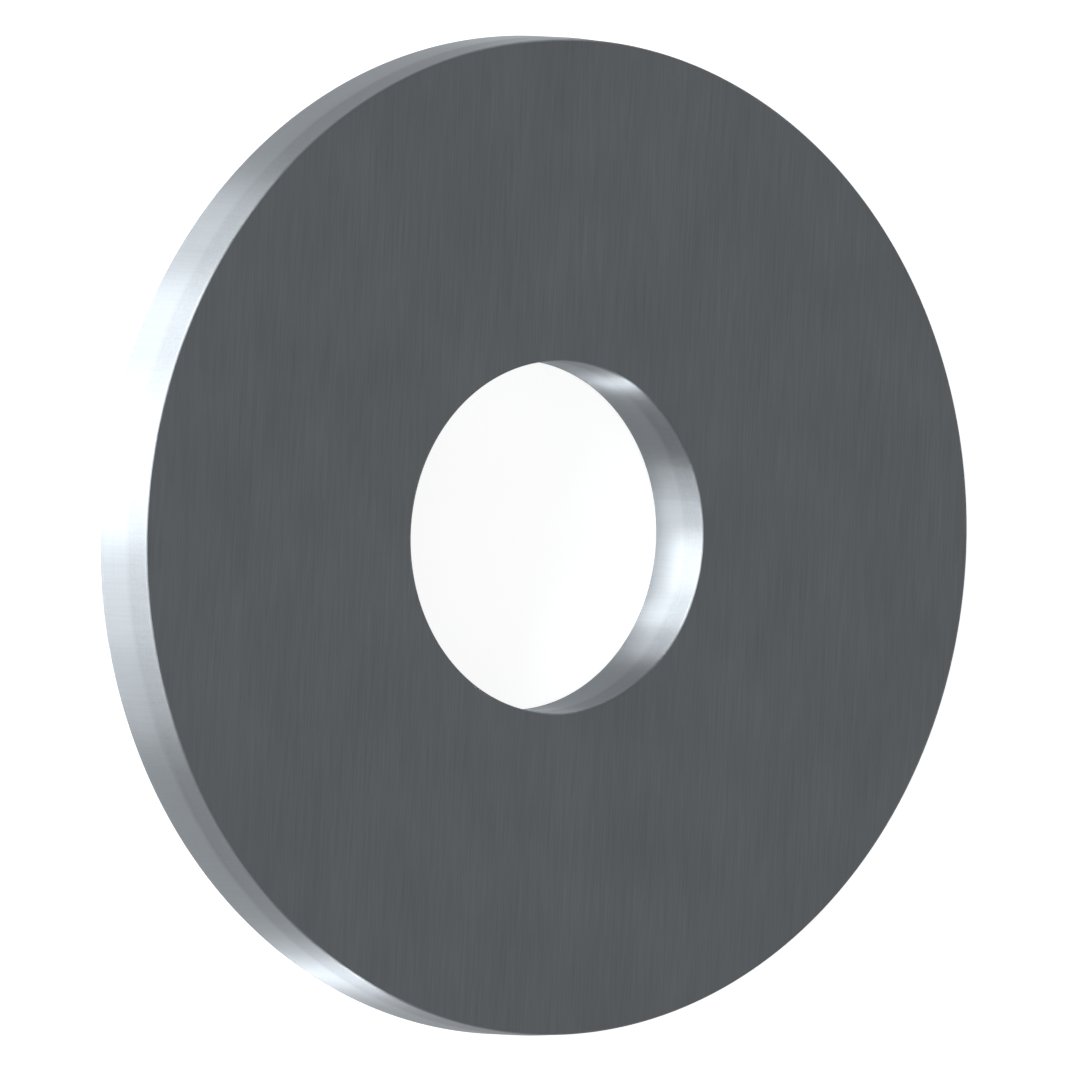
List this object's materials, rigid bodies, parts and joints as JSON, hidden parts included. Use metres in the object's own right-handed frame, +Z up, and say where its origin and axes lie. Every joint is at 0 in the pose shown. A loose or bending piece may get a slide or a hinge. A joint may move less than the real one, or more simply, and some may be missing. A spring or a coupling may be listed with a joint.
{
  "type": "fender washer",
  "caption": "Wide, flat, round steel washer with a small centred bolt hole, which spreads a bolt's load over thin or soft material.",
  "frame": {"origin": "on the hole's axis, at the face that the washer lies on, which is the one with the rolled corners", "axes": "+Z up along the hole's axis, through the thickness; X and Y lie in the plane of the ring, which is the same in every direction about Z"},
  "size_m": [0.024, 0.024, 0.002],
  "materials": {
    "steel": "bare cold-rolled steel: satin dark-grey rolled faces, brighter sheared edges, no coating, no rust"
  },
  "bodies": {
    "root": {"washer": "steel"}
  },
  "joints": []
}
